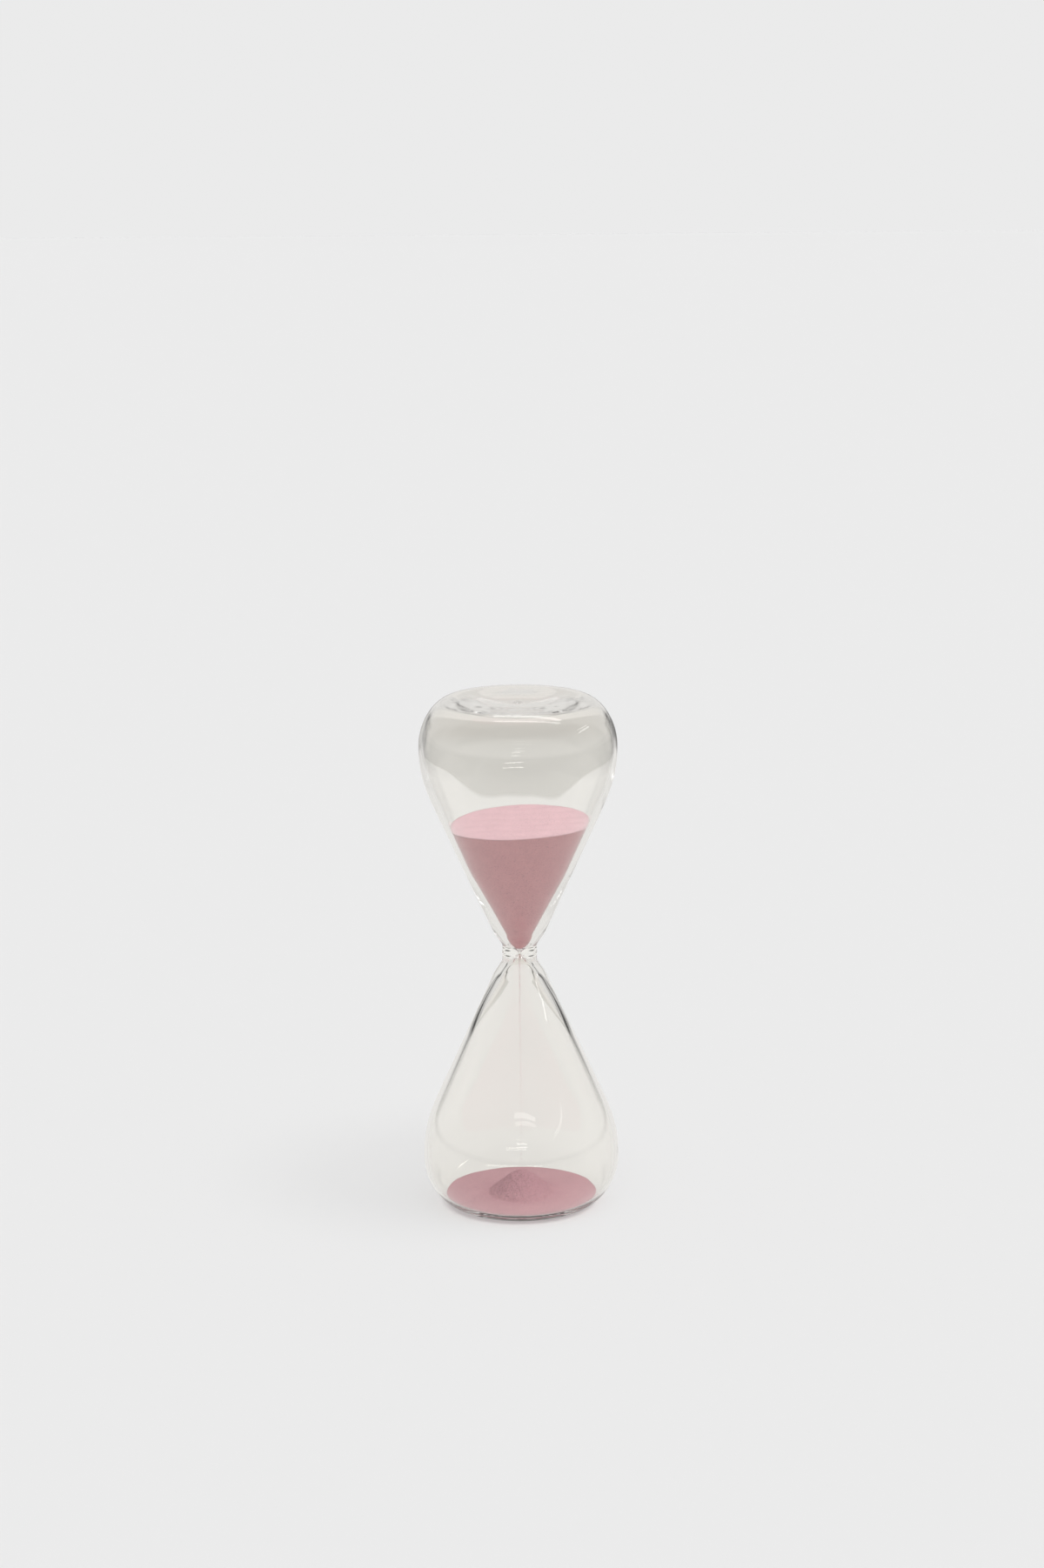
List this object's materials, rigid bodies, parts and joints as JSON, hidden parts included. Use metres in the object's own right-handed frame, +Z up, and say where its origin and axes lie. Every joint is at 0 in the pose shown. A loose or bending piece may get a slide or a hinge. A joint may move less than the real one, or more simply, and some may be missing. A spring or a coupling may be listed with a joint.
{
  "type": "hourglass",
  "caption": "Frameless sand timer of clear blown glass: pear-shaped bulbs fused at a narrow neck, each with a flat hollowed foot, and fine pink sand falling from the upper bulb to the lower.",
  "frame": {"origin": "middle of the lower foot, on the surface that the hourglass stands on", "axes": "+Z up, along the one axis that both bulbs, the orifice and the falling stream share; +X is the side towards which the upper sand lies slightly higher"},
  "size_m": [0.0826, 0.0824, 0.218],
  "materials": {
    "clear_glass": "polished",
    "weld_glass": "polished",
    "pink_sand": "matte",
    "fresh_sand": "matte"
  },
  "bodies": {
    "root": {"lower_bulb": "clear_glass", "upper_bulb": "clear_glass", "neck_weld": "weld_glass", "lower_seal": "weld_glass", "upper_seal": "weld_glass", "upper_sand": "pink_sand", "falling_sand": "pink_sand", "sand_mound": "fresh_sand", "sand_bed": "pink_sand"}
  },
  "joints": []
}
